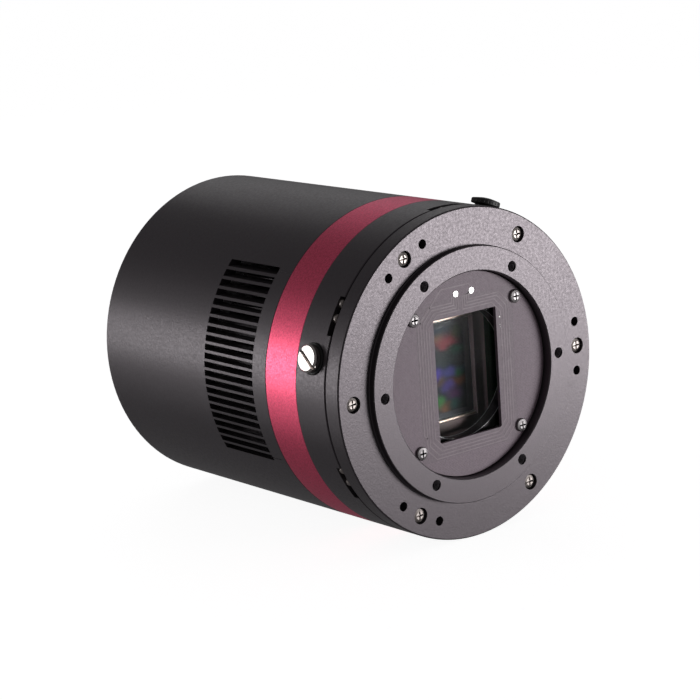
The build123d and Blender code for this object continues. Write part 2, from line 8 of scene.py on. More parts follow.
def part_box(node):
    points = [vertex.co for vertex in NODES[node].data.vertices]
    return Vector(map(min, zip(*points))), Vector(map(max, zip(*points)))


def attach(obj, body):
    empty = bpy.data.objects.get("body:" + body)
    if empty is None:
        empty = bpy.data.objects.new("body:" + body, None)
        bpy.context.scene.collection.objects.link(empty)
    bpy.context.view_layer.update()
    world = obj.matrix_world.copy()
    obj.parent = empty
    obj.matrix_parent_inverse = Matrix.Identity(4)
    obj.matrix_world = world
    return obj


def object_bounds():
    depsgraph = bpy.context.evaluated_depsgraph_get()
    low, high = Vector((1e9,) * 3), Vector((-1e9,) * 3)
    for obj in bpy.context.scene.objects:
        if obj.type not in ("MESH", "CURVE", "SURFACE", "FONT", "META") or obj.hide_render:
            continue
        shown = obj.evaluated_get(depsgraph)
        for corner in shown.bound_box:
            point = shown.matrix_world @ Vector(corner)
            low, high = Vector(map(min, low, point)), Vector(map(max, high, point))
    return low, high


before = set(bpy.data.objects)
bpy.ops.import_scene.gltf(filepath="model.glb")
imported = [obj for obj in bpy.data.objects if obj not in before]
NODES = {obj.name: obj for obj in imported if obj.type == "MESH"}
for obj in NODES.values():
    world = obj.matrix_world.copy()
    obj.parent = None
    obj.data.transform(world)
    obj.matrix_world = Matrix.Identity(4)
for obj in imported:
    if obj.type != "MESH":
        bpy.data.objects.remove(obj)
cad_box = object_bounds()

MM = 0.001


# ---------------------------------------------------------------- materials
class Finish:
    """A procedural material: one Principled shader and the texture nodes that drive it."""

    def __init__(self, name, roughness=0.5, metallic=0.0, **settings):
        self.material = bpy.data.materials.new(name)
        self.material.use_nodes = True
        self.tree = self.material.node_tree
        self.shader = self.tree.nodes["Principled BSDF"]
        self.shader.inputs["Roughness"].default_value = roughness
        self.shader.inputs["Metallic"].default_value = metallic
        for socket, value in settings.items():
            self.shader.inputs[socket.replace("_", " ")].default_value = value
        self.place = self.node("ShaderNodeTexCoord").outputs["Object"]
        self.normal = None

    def node(self, kind):
        return self.tree.nodes.new(kind)

    def join(self, output, socket):
        self.tree.links.new(output, socket)

    def stretched(self, stretch):
        """The surface's own coordinates, in metres, scaled along each axis."""
        mapping = self.node("ShaderNodeMapping")
        mapping.inputs["Scale"].default_value = stretch
        self.join(self.place, mapping.inputs["Vector"])
        return mapping.outputs["Vector"]

    def noise(self, size, detail=2.0, stretch=(1, 1, 1)):
        """Cloudy noise whose grain is about this size in millimetres."""
        noise = self.node("ShaderNodeTexNoise")
        noise.inputs["Scale"].default_value = 1 / (size * MM)
        noise.inputs["Detail"].default_value = detail
        self.join(self.stretched(stretch), noise.inputs["Vector"])
        return noise.outputs[0]

    def axis(self, name):
        """Place along the object's X, Y or Z axis, in metres."""
        split = self.node("ShaderNodeSeparateXYZ")
        self.join(self.place, split.inputs[0])
        return split.outputs[name]

    def math(self, operation, first, second=0.0):
        """One Math node; each value is a number or another node's output."""
        node = self.node("ShaderNodeMath")
        node.operation = operation
        for socket, value in zip(node.inputs, (first, second)):
            if isinstance(value, (int, float)):
                socket.default_value = value
            else:
                self.join(value, socket)
        return node.outputs[0]

    def remap(self, source, low, high, start=0.3, end=0.7):
        """source from start..end becomes low..high."""
        node = self.node("ShaderNodeMapRange")
        self.join(source, node.inputs["Value"])
        for name, value in (("From Min", start), ("From Max", end), ("To Min", low), ("To Max", high)):
            node.inputs[name].default_value = value
        return node.outputs[0]

    def ramp(self, source, *stops):
        """A colour for each place along source: stops are (place, colour)."""
        ramp = self.node("ShaderNodeValToRGB")
        self.join(source, ramp.inputs[0])
        elements = ramp.color_ramp.elements
        while len(elements) < len(stops):
            elements.new(0.5)
        for element, (place, colour) in zip(elements, stops):
            element.position = place
            element.color = (*colour, 1)
        return ramp.outputs[0]

    def mix(self, factor, first, second):
        """Colour between first and second; each is a colour or another node's output."""
        node = self.node("ShaderNodeMix")
        node.data_type = "RGBA"
        self.join(factor, node.inputs[0])
        for socket, value in ((node.inputs[6], first), (node.inputs[7], second)):
            if isinstance(value, tuple):
                socket.default_value = (*value, 1)
            else:
                self.join(value, socket)
        return node.outputs[2]

    def colour(self, source):
        self.join(source, self.shader.inputs["Base Color"])

    def vary_colour(self, colour, spread, size, detail=3.0):
        """Base colour that drifts lighter and darker by spread."""
        dark = tuple(c * (1 - spread) for c in colour)
        light = tuple(min(1.0, c * (1 + spread)) for c in colour)
        self.colour(self.ramp(self.noise(size, detail), (0.3, dark), (0.7, light)))

    def vary_roughness(self, low, high, size):
        """Roughness that drifts between low and high."""
        source = self.remap(self.noise(size, 3.0), low, high)
        self.join(source, self.shader.inputs["Roughness"])

    def bump(self, source, height):
        """Relief of this height in millimetres; calls add up."""
        bump = self.node("ShaderNodeBump")
        bump.inputs["Distance"].default_value = height * MM
        self.join(source, bump.inputs["Height"])
        if self.normal is not None:
            self.join(self.normal, bump.inputs["Normal"])
        self.normal = bump.outputs[0]
        self.join(self.normal, self.shader.inputs["Normal"])


def anodised(name, colour, roughness, metallic=0.0, grain=0.35, relief=0.018):
    """Bead-blasted and dyed aluminium: a fine even grain with slight mottling."""
    finish = Finish(name, metallic=metallic, Specular_IOR_Level=0.75)
    finish.shader.inputs["Specular Tint"].default_value = (1.0, 0.88, 0.955, 1)
    finish.vary_colour(colour, 0.2, grain * 1.4, 4.0)
    finish.vary_roughness(roughness - 0.06, roughness + 0.06, grain * 1.6)
    finish.bump(finish.noise(grain, 2.0), relief)
    return finish


def turned_metal(name, colour, roughness, stretch=(1, 12, 1), relief=0.004):
    """Bright plated or machined metal with fine tool marks and a few dull patches."""
    finish = Finish(name, metallic=1.0)
    finish.vary_colour(colour, 0.10, 1.4)
    finish.vary_roughness(roughness * 0.7, roughness * 1.4, 0.8)
    finish.bump(finish.noise(0.5, 3.0, stretch), relief)
    return finish


def moulded(name, colour, roughness, relief=0.01):
    """Plastic, resin or paint with a faint skin texture."""
    finish = Finish(name, Specular_IOR_Level=0.4)
    finish.vary_colour(colour, 0.12, 3.0)
    finish.vary_roughness(roughness - 0.07, roughness + 0.07, 2.0)
    finish.bump(finish.noise(0.5, 3.0), relief)
    return finish


def glass(name, tint, index, haze=0.0):
    """Clear glass that lets lamps light what is behind it."""
    finish = Finish(name, roughness=0.0, IOR=index, Transmission_Weight=1.0, Coat_Weight=haze,
                    Coat_Roughness=0.35)
    finish.shader.inputs["Base Color"].default_value = (*tint, 1)
    smear = finish.remap(finish.noise(9.0, 3.0), 0.0, 0.012, 0.45, 0.75)
    finish.join(smear, finish.shader.inputs["Roughness"])
    path = finish.node("ShaderNodeLightPath")
    clear = finish.node("ShaderNodeBsdfTransparent")
    mix = finish.node("ShaderNodeMixShader")
    output = finish.tree.nodes["Material Output"]
    finish.join(path.outputs["Is Shadow Ray"], mix.inputs[0])
    finish.join(finish.shader.outputs[0], mix.inputs[1])
    finish.join(clear.outputs[0], mix.inputs[2])
    finish.join(mix.outputs[0], output.inputs["Surface"])
    return finish


def heater_mask():
    """Matt grey solder mask over a hatched copper pour that stops short of the heater's tracks."""
    poured_x, poured_z, pitch = 17.2 * MM, 21.4 * MM, 0.62 * MM
    finish = Finish("heater_mask", Specular_IOR_Level=0.4)
    across = finish.math("ABSOLUTE", finish.axis("X"))
    upward = finish.math("ABSOLUTE", finish.axis("Z"))
    outside = finish.math("MAXIMUM", finish.math("GREATER_THAN", across, poured_x),
                          finish.math("GREATER_THAN", upward, poured_z))
    slant = finish.math("SUBTRACT", finish.axis("X"), finish.axis("Z"))
    wave = finish.math("SINE", finish.math("MULTIPLY", slant, 2 * math.pi / pitch))
    hatch = finish.math("MULTIPLY", finish.math("GREATER_THAN", wave, 0.1), outside)
    grain = finish.noise(0.5, 2.0)
    level = finish.math("ADD", finish.math("MULTIPLY", hatch, 0.35), grain)
    finish.colour(finish.ramp(level, (0.3, (0.140, 0.104, 0.126)), (1.0, (0.240, 0.180, 0.218))))
    finish.vary_roughness(0.50, 0.56, 1.2)
    finish.bump(grain, 0.003)
    finish.bump(hatch, 0.012)
    return finish


def sensor_array():
    """The pixel array: dark silicon with painted reflections, colour patches that stand in for the coloured
    light its micro-lenses split off.
    """
    finish = Finish("sensor_array", roughness=0.5, Specular_IOR_Level=0.1)
    wobble = finish.math("MULTIPLY", finish.noise(4.0, 2.0), REFLECTION_PATCH_WOBBLE * MM)
    across = finish.math("ADD", finish.axis("X"), wobble)
    upward = finish.math("ADD", finish.axis("Z"), wobble)
    shade = finish.ramp(finish.noise(5.0, 2.0), (0.3, (0.005, 0.007, 0.008)),
                        (0.7, (0.010, 0.012, 0.013)))

    def share(place, middle, reach):
        """Distance from a patch's middle as a share of its reach."""
        distance = finish.math("SUBTRACT", place, (middle + REFLECTION_PATCH_WOBBLE / 2) * MM)
        return finish.math("DIVIDE", distance, REFLECTION_PATCH_SPREAD * reach * MM)

    # each patch is a painted reflection, mixed into the silicon's own dark colour
    for x, z, width, height, tint in ARRAY_PAINTED_REFLECTIONS:
        dx, dz = share(across, x, width), share(upward, z, height)
        square = finish.math("ADD", finish.math("MULTIPLY", dx, dx), finish.math("MULTIPLY", dz, dz))
        amount = finish.remap(square, 1.0, 0.0, 0.0, 1.0)
        amount = finish.math("POWER", amount, 3.0)
        shade = finish.mix(amount, shade, tint)
    finish.colour(shade)
    return finish


def sensor_ceramic():
    """Metallised brown ceramic with painted light: paler towards +X as painted light, darker towards -X as
    painted shade.
    """
    finish = Finish("sensor_ceramic", Specular_IOR_Level=0.3)
    # painted light and shade: the colour runs from shaded at -X to lit at +X
    shaded_end, lit_end = -4 * MM, 15 * MM
    place = finish.remap(finish.axis("X"), 0.0, 1.0, shaded_end, lit_end)
    mottle = finish.math("MULTIPLY", finish.noise(1.5, 3.0), 0.1)
    finish.colour(finish.ramp(finish.math("ADD", place, mottle), (0.05, (0.13, 0.095, 0.08)),
                              (0.9, (0.50, 0.36, 0.37))))
    finish.vary_roughness(0.4, 0.5, 2.0)
    return finish


def board_mask():
    """Green circuit board whose tracks show as fine ridges."""
    finish = Finish("board_mask", Specular_IOR_Level=0.5)
    finish.vary_colour((0.015, 0.07, 0.03), 0.2, 3.0)
    finish.vary_roughness(0.3, 0.42, 2.0)
    finish.bump(finish.noise(0.6, 1.0, (5, 1, 1)), 0.006)
    return finish


def painted_shade(name):
    """Painted shade: black with almost no shine, standing in for the unlit bottom of a recess."""
    finish = Finish(name, roughness=0.9, Specular_IOR_Level=0.03)
    finish.vary_colour((0.004, 0.004, 0.004), 0.3, 1.0)
    return finish


def rubber(name):
    """Matt black rubber."""
    finish = Finish(name, Specular_IOR_Level=0.35)
    finish.vary_colour((0.012, 0.012, 0.012), 0.3, 1.0)
    finish.vary_roughness(0.4, 0.6, 0.8)
    finish.bump(finish.noise(0.15, 2.0), 0.004)
    return finish


# Painted reflections: the pixel array's colour patches stand in for coloured light split off by its
# micro-lenses.
REFLECTION_PATCH_SPREAD = 1.3          # where a colour patch has faded out, as a share of its stated size
REFLECTION_PATCH_WOBBLE = 3.0          # how far noise shifts the patches' outlines, in millimetres

# painted reflections on the pixel array, colour patches for the light its micro-lenses split off: x, z,
# half width, half height (mm), colour
ARRAY_PAINTED_REFLECTIONS = [
    (-1.0, 11.0, 7.0, 3.2, (0.028, 0.036, 0.048)),
    (5.0, 9.5, 3.0, 3.0, (0.022, 0.028, 0.012)),
    (-1.5, 8.6, 3.2, 1.9, (0.110, 0.055, 0.030)),
    (1.8, 7.0, 5.0, 2.6, (0.170, 0.022, 0.026)),
    (5.0, 4.6, 4.4, 1.8, (0.008, 0.034, 0.022)),
    (0.0, 1.6, 9.0, 2.6, (0.010, 0.016, 0.016)),
    (-2.2, -1.6, 2.4, 2.6, (0.050, 0.028, 0.22)),
    (2.4, -1.4, 5.4, 1.9, (0.034, 0.034, 0.14)),
    (5.8, -1.8, 2.0, 2.2, (0.010, 0.048, 0.018)),
    (-0.6, -3.4, 2.2, 1.7, (0.055, 0.030, 0.010)),
    (4.6, -4.4, 4.4, 2.2, (0.060, 0.024, 0.012)),
    (1.6, -5.2, 3.2, 2.6, (0.040, 0.026, 0.13)),
    (3.4, -8.0, 4.0, 2.8, (0.038, 0.014, 0.046)),
    (-1.8, -9.4, 2.4, 2.4, (0.022, 0.120, 0.022)),
    (3.2, -10.4, 3.0, 1.7, (0.010, 0.038, 0.030)),
    (0.0, -11.2, 2.8, 1.9, (0.110, 0.046, 0.018)),
]

FINISHES = {
    "black": anodised("black_anodised", (0.030, 0.026, 0.029), 0.37, grain=0.42, relief=0.021),
    "red": anodised("red_anodised", (0.90, 0.120, 0.215), 0.40, metallic=1.0, relief=0.008),
    "dark": anodised("dark_anodised", (0.110, 0.105, 0.108), 0.45),
    "bare": turned_metal("bare_aluminium", (0.85, 0.84, 0.84), 0.55, (1, 1, 14)),
    "nickel": turned_metal("nickel_plate", (0.33, 0.295, 0.28), 0.40, relief=0.012),
    "steel_screw": turned_metal("plain_steel", (0.24, 0.225, 0.23), 0.38, relief=0.006),
    "oxide": turned_metal("black_oxide", (0.06, 0.06, 0.065), 0.38),
    "chrome": turned_metal("plug_chrome", (0.52, 0.48, 0.46), 0.2, (1, 1, 10)),
    "solder": turned_metal("bright_solder", (0.86, 0.85, 0.83), 0.34),
    "mask": heater_mask(),
    "thread": anodised("thread_crests", (0.32, 0.30, 0.32), 0.4),
    # painted shade for the bottoms of screw recesses
    "recess": painted_shade("painted_recess_shade"),
    "track": moulded("masked_copper", (0.228, 0.178, 0.203), 0.5, relief=0.003),
    "array": sensor_array(),
    "tan": moulded("bond_ledge", (0.20, 0.15, 0.12), 0.4, relief=0.003),
    "capacitor": moulded("capacitor_tan", (0.42, 0.30, 0.18), 0.4, relief=0.003),
    "wire_red": moulded("wire_red", (0.45, 0.02, 0.02), 0.4, relief=0.003),
    "wire_black": moulded("wire_black", (0.015, 0.015, 0.015), 0.4, relief=0.003),
    "wire_yellow": moulded("wire_yellow", (0.55, 0.40, 0.03), 0.4, relief=0.003),
    "window": glass("coated_glass", (0.97, 0.99, 1.0), 1.03, haze=0.015),
    "cover": glass("sensor_cover", (0.96, 0.98, 1.0), 1.03),
    "rubber": rubber("seal_rubber"),
    "plug": moulded("plug_black", (0.016, 0.015, 0.016), 0.5, relief=0.003),
    "ceramic": sensor_ceramic(),
    "silicon": moulded("die_border", (0.006, 0.007, 0.009), 0.6, relief=0.001),
    "board": board_mask(),
    "chip": moulded("chip_resin", (0.018, 0.018, 0.018), 0.5),
    "copper": turned_metal("machined_copper", (0.75, 0.38, 0.25), 0.3),
    "alumina": moulded("alumina", (0.82, 0.82, 0.80), 0.5),
    "pellet": turned_metal("pellet_metal", (0.32, 0.32, 0.34), 0.5),
    "brass": turned_metal("spacer_brass", (0.78, 0.60, 0.30), 0.3),
    "nylon": moulded("nylon", (0.80, 0.78, 0.72), 0.5),
    "black_plastic": moulded("black_plastic", (0.015, 0.015, 0.016), 0.5),
    "film": moulded("amber_film", (0.50, 0.24, 0.04), 0.25, relief=0.002),
    "ribbon": moulded("ribbon_grey", (0.38, 0.38, 0.39), 0.45),
    "winding": turned_metal("stator_winding", (0.55, 0.25, 0.10), 0.35, (1, 30, 1)),
    "steel": turned_metal("ground_steel", (0.60, 0.60, 0.61), 0.2),
    "bronze": turned_metal("bearing_bronze", (0.55, 0.40, 0.22), 0.4),
    "socket": turned_metal("socket_plate", (0.60, 0.60, 0.61), 0.42, relief=0.0004),
    "usb": moulded("usb_blue", (0.015, 0.10, 0.42), 0.5, relief=0.002),
    "gold": turned_metal("contact_gold", (0.90, 0.62, 0.28), 0.3, relief=0.0008),
    "pale_gold": turned_metal("pale_gold", (0.62, 0.47, 0.38), 0.4),
    "wire_silver": turned_metal("wire_silver", (0.80, 0.72, 0.68), 0.35),
}

NODE_FINISH = {
    "black": ["tilt_flange", "front_housing", "rear_shell", "back_plate"],
    "red": ["accent_ring"],
    "dark": ["heat_sink", "tie_posts"],
    "bare": ["board_carrier"],
    "nickel": ["flange_screws", "chamber_screws", "shell_screws", "main_board_screws",
               "sensor_board_screws"],
    "steel_screw": ["heater_board_screws"],
    "oxide": ["jack_screws", "back_plate_screws", "fan_screws"],
    "chrome": ["port_plug"],
    "solder": ["heater_solder_pads"],
    "mask": ["window_heater_board"],
    "window": ["optical_window"],
    "cover": ["sensor_cover_glass"],
    "rubber": ["window_gasket", "window_o_ring", "chamber_o_ring", "light_seal_ring",
               "port_plug_o_ring", "thumb_plug_o_ring"],
    "plug": ["thumb_plug"],
    "ceramic": ["sensor_package"],
    "silicon": ["sensor_die"],
    "board": ["sensor_board", "main_board", "interface_board"],
    "chip": ["main_board_chips"],
    "copper": ["cold_finger"],
    "alumina": ["cooler_ceramics"],
    "pellet": ["cooler_pellets"],
    "brass": ["main_board_spacers"],
    "nylon": ["sensor_board_spacers"],
    "black_plastic": ["signal_feedthrough", "power_socket", "fan_frame", "fan_rotor"],
    "film": ["sensor_flex_cable"],
    "ribbon": ["main_ribbon_cable", "interface_ribbon_cable"],
    "winding": ["fan_stator"],
    "steel": ["fan_shaft"],
    "bronze": ["fan_bearing"],
    "socket": ["usb_socket_shell", "filter_wheel_socket", "filter_wheel_nut"],
    "usb": ["usb_socket_tongue"],
    "gold": ["power_socket_pin", "filter_wheel_pins"],
}


def dress(mesh, finish_name):
    mesh.materials.clear()
    mesh.materials.append(FINISHES[finish_name].material)


for finish_name, members in NODE_FINISH.items():
    for member in members:
        dress(NODES[member].data, finish_name)


# ---------------------------------------------------------------- pieces
def piece(name, mesh, finish, body, smooth=True):
    """A new mesh piece with its finish, riding on a CAD body."""
    dress(mesh, finish)
    if smooth:
        mesh.shade_smooth()
    made = bpy.data.objects.new(name, mesh)
    bpy.context.scene.collection.objects.link(made)
    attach(made, body)


def mesh_from(bm, name):
    """The finished mesh, with its faces turned outwards."""
    mesh = bpy.data.meshes.new(name)
    bmesh.ops.recalc_face_normals(bm, faces=bm.faces)
    bm.to_mesh(mesh)
    bm.free()
    return mesh


SHARPEST_MITRE = 0.3       # keeps a sharp corner of a bar from reaching out too far


def add_box(bm, low, high):
    """A closed box between two corners, in metres."""
    made = bmesh.ops.create_cube(bm, size=1.0)["verts"]
    centre = (Vector(low) + Vector(high)) / 2
    size = Vector(high) - Vector(low)
    for vert in made:
        vert.co = centre + Vector(vert.co[i] * size[i] for i in range(3))


def add_bar(bm, points, width, front, back):
    """Flat bar with mitred corners along (x, z) points, between two y levels; all in millimetres."""
    flat = [Vector(point) for point in points]
    ways = [(after - before).normalized() for before, after in zip(flat, flat[1:])]
    rows = []
    for here, before, after in zip(flat, ways[:1] + ways, ways + ways[-1:]):
        along = (before + after).normalized()
        side = Vector((-along.y, along.x))
        reach = width / 2 / max(SHARPEST_MITRE, along.dot(after))
        rows.append([bm.verts.new((at.x * MM, y * MM, at.y * MM))
                     for at, y in ((here - side * reach, front), (here + side * reach, front),
                                   (here + side * reach, back), (here - side * reach, back))])
    bridge(bm, rows)


def bridge(bm, rows):
    """Skin over rows of vertices that go round a bar or wire, with both ends closed."""
    sides = len(rows[0])
    for one, two in zip(rows, rows[1:]):
        for k in range(sides):
            bm.faces.new((one[k], one[(k + 1) % sides], two[(k + 1) % sides], two[k]))
    bm.faces.new(rows[0])
    bm.faces.new(rows[-1])


def add_tube(bm, points, radius, sides=8):
    """Round wire along 3-D points, closed at both ends; all in millimetres."""
    path = [Vector(point) * MM for point in points]
    rings = []
    turn = None
    for i, here in enumerate(path):
        along = (path[min(i + 1, len(path) - 1)] - path[max(i - 1, 0)]).normalized()
        if turn is None:
            turn = along.orthogonal().normalized()
        turn = (turn - along * turn.dot(along)).normalized()
        other = along.cross(turn)
        rings.append([bm.verts.new(here + (turn * math.cos(a) + other * math.sin(a)) * radius * MM)
                      for a in (2 * math.pi * k / sides for k in range(sides))])
    bridge(bm, rings)


def add_dome(bm, x, y, z, radius, height):
    """Small blob that stands off a board's front at y; all in millimetres."""
    made = bmesh.ops.create_icosphere(bm, subdivisions=2, radius=1.0)["verts"]
    for vert in made:
        vert.co = Vector((x + vert.co.x * radius, y + vert.co.y * height, z + vert.co.z * radius)) * MM


def add_block(bm, x, z, width, height, front, back):
    """Box between two y levels, centred at (x, z); all in millimetres."""
    add_box(bm, Vector((x - width / 2, front, z - height / 2)) * MM,
            Vector((x + width / 2, back, z + height / 2)) * MM)


def smooth_path(points, steps=6):
    """Points of a soft curve through these ones."""
    path = [Vector(point) for point in points]
    ends = [path[0] * 2 - path[1]] + path + [path[-1] * 2 - path[-2]]
    curve = []
    for i in range(1, len(ends) - 2):
        a, b, c, d = ends[i - 1:i + 3]
        for k in range(steps):
            t = k / steps
            curve.append((b * 2 + (c - a) * t + (a * 2 - b * 5 + c * 4 - d) * t ** 2
                          + (b * 3 - a - c * 3 + d) * t ** 3) / 2)
    return curve + [path[-1]]


def corner_places(half_x, half_z):
    return [(side * half_x, end * half_z) for side in (-1, 1) for end in (-1, 1)]


# ---- flange: tapped holes ----
def adapter_threads():
    """Thread crests inside the six tapped holes of the raised ring."""
    circle, holes, radius = 31.0, 6, 1.5
    first, pitch, turns, crest, points_a_turn = 0.45, 0.5, 9, 0.11, 20
    bm = bmesh.new()
    for i in range(holes):
        place = 2 * math.pi * i / holes
        x, z = circle * math.cos(place), circle * math.sin(place)
        path = []
        for k in range(points_a_turn * turns + 1):
            turned = k / points_a_turn
            a = 2 * math.pi * turned
            path.append((x + radius * math.cos(a), first + pitch * turned, z + radius * math.sin(a)))
        add_tube(bm, path, crest, 5)
    piece("adapter_threads", mesh_from(bm, "adapter_threads"), "thread", "flange")


adapter_threads()


# ---- heater board: tracks, vias and painted shade in the crosses of its screws ----
BOARD_FRONT = 2.57
PAD_X, PAD_Z = 2.78, 22.3
TRACK_WIDTH, TRACK_SINK, TRACK_STAND = 0.3, 0.03, 0.02
BOARD_SCREW_PLACE, BOARD_SCREW_HEAD = 18, 1.85


def heater_tracks():
    """Nested loops round the aperture, from one solder pad to the other, and one return track."""
    bm = bmesh.new()
    loops, corner, neck = 4, 3.0, 21.2
    lanes = []
    for i in range(loops):
        side, low, high = 12.75 + 0.93 * i, -18.1 - 0.93 * i, 17.75 + 0.8 * i
        start, end = -2.1 - 0.75 * i, -0.6 + 0.75 * i
        lanes.append([(-PAD_X, PAD_Z), (start, neck), (start, high), (-side + corner, high),
                      (-side, high - corner), (-side, low + corner), (-side + corner, low),
                      (side - corner, low), (side, low + corner), (side, high - corner),
                      (side - corner, high), (end, high), (end, neck), (PAD_X, PAD_Z)])
    lanes.append([(PAD_X, PAD_Z), (2.0, 24.3), (-7.9, 24.3), (-16.5, 15.7), (-16.5, -13.5),
                  (-15.0, -15.0)])
    for points in lanes:
        add_bar(bm, points, TRACK_WIDTH, BOARD_FRONT - TRACK_SINK, BOARD_FRONT + TRACK_STAND)
    piece("heater_tracks", mesh_from(bm, "heater_tracks"), "track", "camera", smooth=False)


def heater_vias():
    """Small soldered holes beside the aperture's right edge: x, z and radius of each."""
    bm = bmesh.new()
    for x, z, radius in ((12.35, 13.3, 0.24), (12.3, 11.1, 0.13), (12.5, 10.5, 0.13), (13.2, 9.8, 0.1),
                         (12.7, 5.4, 0.1)):
        add_dome(bm, x, BOARD_FRONT, z, radius, 0.06)
    piece("heater_vias", mesh_from(bm, "heater_vias"), "solder", "camera")


def screw_recess_shades():
    """Painted shade: black crosses just under the heads' tops of the board's pan-head screws, for the
    shadow in their cross recesses.
    """
    name, front, back = "heater_screw_recess_shades", 1.69, 2.20
    arm, width = BOARD_SCREW_HEAD * 1.15, BOARD_SCREW_HEAD * 0.26
    bm = bmesh.new()
    for x, z in corner_places(BOARD_SCREW_PLACE, BOARD_SCREW_PLACE):
        add_block(bm, x, z, arm, width, front, back)
        add_block(bm, x, z, width, arm, front, back)
    piece(name, mesh_from(bm, name), "recess", "camera", smooth=False)


heater_tracks()
heater_vias()
screw_recess_shades()


# ---- sensor: pixel array, bond ledges and wires, and the edges of the bore in front of it ----
die_low, die_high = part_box("sensor_die")
die_centre = (die_low + die_high) / 2

DIE_FRONT, DIE_TOP, DIE_BOTTOM = 12.9, 13.0, -14.0
WELL_TOP, WELL_BOTTOM, WELL_BACK = 13.7, -14.7, 13.6
LEDGE_FRONT, LEDGE_WIDTH = 12.55, 21.9


def pixel_array():
    """The light-sensitive area on the die: a thin raised plate."""
    half_x, half_z, height = 7.85 * MM, 11.75 * MM, 0.02 * MM
    bm = bmesh.new()
    add_box(bm, (die_centre.x - half_x, die_low.y - height, die_centre.z - half_z),
            (die_centre.x + half_x, die_low.y + height, die_centre.z + half_z))
    piece("sensor_pixel_array", mesh_from(bm, "sensor_pixel_array"), "array", "camera",
          smooth=False)


def bond_ledges():
    """Ceramic steps above and below the die that carry the gold fingers."""
    bm = bmesh.new()
    for edge, wall in ((DIE_TOP, WELL_TOP), (DIE_BOTTOM, WELL_BOTTOM)):
        inner = edge + (wall - edge) * 0.15
        add_block(bm, 0, (inner + wall) / 2, LEDGE_WIDTH, abs(wall - inner), LEDGE_FRONT, WELL_BACK)
    piece("bond_ledges", mesh_from(bm, "bond_ledges"), "tan", "camera", smooth=False)


def bond_fingers_and_wires():
    """A gold finger on the ledge for each bond wire that comes over from the die's edge."""
    count, pitch, first_x, wire_radius = 54, 0.38, -10.07, 0.035
    fingers, wires = bmesh.new(), bmesh.new()
    for edge, wall in ((DIE_TOP, WELL_TOP), (DIE_BOTTOM, WELL_BOTTOM)):
        away = 1 if wall > edge else -1
        foot = edge + (wall - edge) * 0.6
        for i in range(count):
            x = first_x + pitch * i
            add_block(fingers, x, foot, 0.27, 0.46, LEDGE_FRONT - 0.02, LEDGE_FRONT + 0.02)
            add_tube(wires, [(x, DIE_FRONT, edge - away * 0.35), (x, 12.5, edge - away * 0.2),
                             (x, 12.36, edge + away * 0.12), (x, LEDGE_FRONT, foot)], wire_radius, 5)
    piece("bond_fingers", mesh_from(fingers, "bond_fingers"), "pale_gold", "camera", False)
    piece("bond_wires", mesh_from(wires, "bond_wires"), "wire_silver", "camera")


def bright_edges():
    """Machined bright edges at both ends of the bore behind the window: y and radius of each."""
    sides, thickness = 144, 0.07
    bm = bmesh.new()
    for y, radius in ((6.12, 18.22), (9.45, 18.1)):
        around = [(radius * math.cos(a), y, radius * math.sin(a))
                  for a in (2 * math.pi * k / sides for k in range(sides + 1))]
        add_tube(bm, around, thickness, 6)
    piece("bore_edges", mesh_from(bm, "bore_edges"), "bare", "camera")


pixel_array()
bond_ledges()
bond_fingers_and_wires()
bright_edges()


# ---- boards: small parts, connectors and cables ----
def small_parts(name, places, front, thickness):
    """Chip parts with their end caps, lying on a board, from y = front backwards."""
    length, width = 1.0, 0.55
    bodies, caps = bmesh.new(), bmesh.new()
    for x, z, upright in places:
        wide, high = (width, length) if upright else (length, width)
        add_block(bodies, x, z, wide * 0.98, high * 0.98, front, front + thickness)
        for side in (-1, 1):
            dx, dz = (0, side * length * 0.42) if upright else (side * length * 0.42, 0)
            cap_wide, cap_high = (width * 1.02, length * 0.24) if upright else (length * 0.24, width * 1.02)
            add_block(caps, x + dx, z + dz, cap_wide, cap_high, front, front + thickness * 1.02)
    piece(name, mesh_from(bodies, name), "capacitor", "camera", smooth=False)
    piece(name + "_caps", mesh_from(caps, name + "_caps"), "solder", "camera", smooth=False)


def scattered(seed, count, inner, outer, keep_off, z_low=-99.0, z_high=99.0):
    """Places between two radii that keep clear of (x, z, radius) circles and of each other."""
    spacing = 1.8
    picker = random.Random(seed)
    places = []
    while len(places) < count:
        angle, radius = picker.uniform(0, 2 * math.pi), picker.uniform(inner, outer)
        x, z = radius * math.cos(angle), radius * math.sin(angle)
        clear = all(math.hypot(x - a, z - b) > r for a, b, r in keep_off)
        apart = all(math.hypot(x - p[0], z - p[1]) > spacing for p in places)
        if clear and z_low < z < z_high and apart:
            places.append((x, z, picker.random() < 0.5))
    return places


MAIN_BACK, INTERFACE_FRONT, SENSOR_BOARD_BACK = 73.6, 87.5, 16.8
THICK_PART, THIN_PART = 0.5, 0.45
SOCKET_Z, SOCKET_SPREAD = -27.5, 17.5

# (x, z, radius) round the posts, screws, chips, sockets and headers of each board
main_clear = [(x, z, 5.0) for x, z in corner_places(33.8, 12.3)]
main_clear += [(x, z, 4.0) for x, z in corner_places(22, 22)]
main_clear += [(0, 24.5, 12.5), (-24, 0, 7.5), (24, 0, 7.5), (9, -19, 6.8), (0, -30, 10), (0, -26, 10)]
sensor_clear = [(x, z, 3.6) for x, z in corner_places(22.5, 17.5)] + [(0, -26, 9.5), (0, 0, 23.5)]
interface_clear = [(x, SOCKET_Z, 8) for x in (0, SOCKET_SPREAD, -SOCKET_SPREAD)] + [(0, -30, 9.5)]
small_parts("main_board_parts", scattered(3, 60, 19.5, 36.0, main_clear), MAIN_BACK, THICK_PART)
small_parts("sensor_board_parts", scattered(5, 26, 23.6, 29.6, sensor_clear), SENSOR_BOARD_BACK, THIN_PART)
small_parts("interface_board_parts", scattered(7, 14, 22.5, 36.0, interface_clear, -39, -20),
            INTERFACE_FRONT - THIN_PART, THIN_PART)


